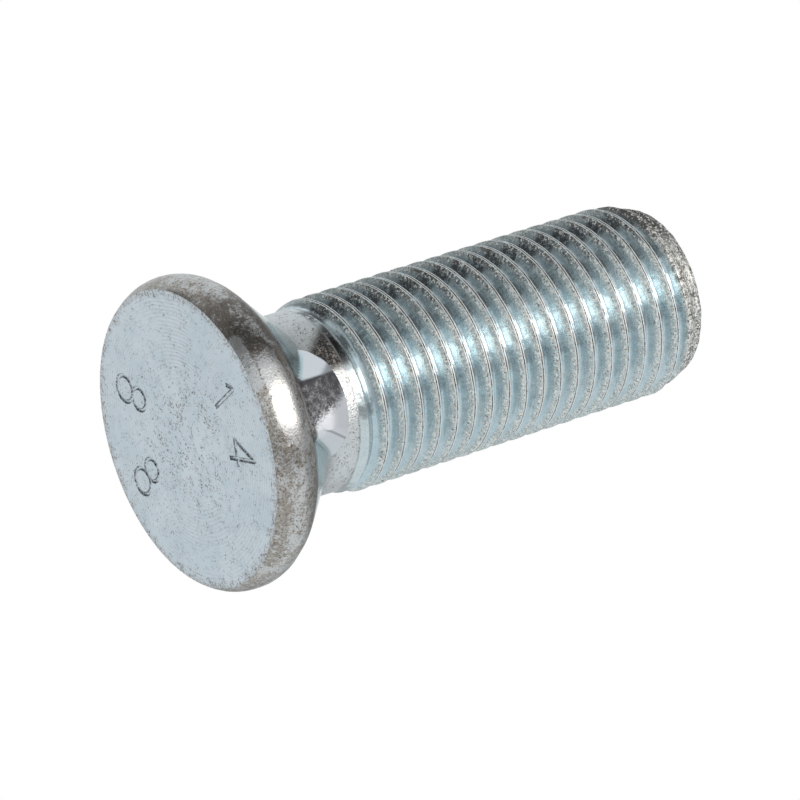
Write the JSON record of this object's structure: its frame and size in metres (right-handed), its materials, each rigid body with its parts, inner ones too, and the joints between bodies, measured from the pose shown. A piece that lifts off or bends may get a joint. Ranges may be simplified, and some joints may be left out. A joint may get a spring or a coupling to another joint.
{
  "type": "countersunk screw",
  "caption": "Flat countersunk screw with a fine external thread, a rounded rim and nibs under its head that stop it turning in its seat.",
  "frame": {"origin": "centre of the head's flat face, which the screw stands on", "axes": "+Z along the shank from the head's face to the tip, +X through the middle of one nib"},
  "size_m": [0.0222, 0.0222, 0.0403],
  "materials": {
    "zinc_steel": "blue-white zinc plating, worn and stained, with concentric turning marks on the face"
  },
  "bodies": {
    "root": {"screw": "zinc_steel"}
  },
  "joints": []
}
